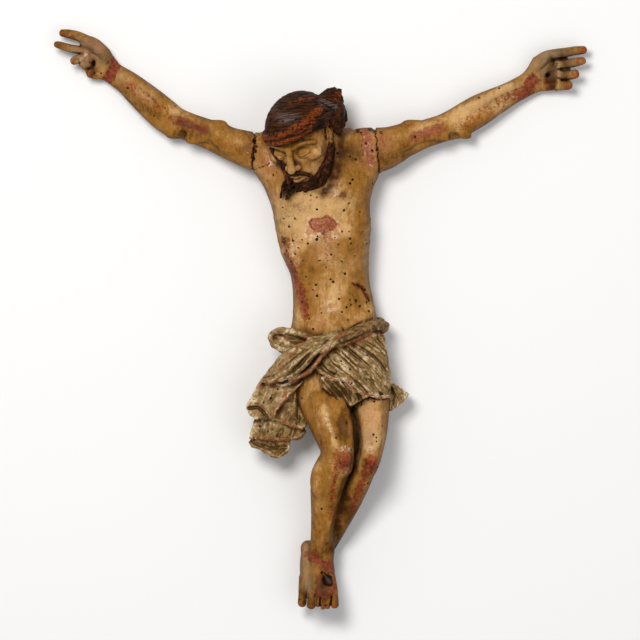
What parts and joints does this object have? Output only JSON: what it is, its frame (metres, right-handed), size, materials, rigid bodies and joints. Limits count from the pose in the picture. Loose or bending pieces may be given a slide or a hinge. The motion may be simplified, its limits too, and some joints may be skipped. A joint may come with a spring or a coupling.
{
  "type": "crucifix corpus figure",
  "caption": "Carved and painted wooden crucifix figure without its cross: bowed head, raised arms let in at the shoulders, knotted loincloth, crossed feet; lies on its planed back.",
  "frame": {"origin": "on the planed back, in its flat face, behind the middle of the chest", "axes": "+Y up the figure towards its head, +X towards the figure's left hand, +Z out of the chest, so the figure lies on its back"},
  "size_m": [0.3984, 0.4337, 0.0819],
  "materials": {
    "carved_wood": "old paint over gesso on carved softwood, yellowed, worn and wormed",
    "right_arm_wood": "old flesh paint over gesso, worn and wormed",
    "left_arm_wood": "old flesh paint over gesso, worn and wormed",
    "nail_iron": "dark forged iron, lightly rusted"
  },
  "bodies": {
    "root": {"body": "carved_wood", "right_arm": "right_arm_wood", "left_arm": "left_arm_wood", "foot_nail": "nail_iron"}
  },
  "joints": []
}
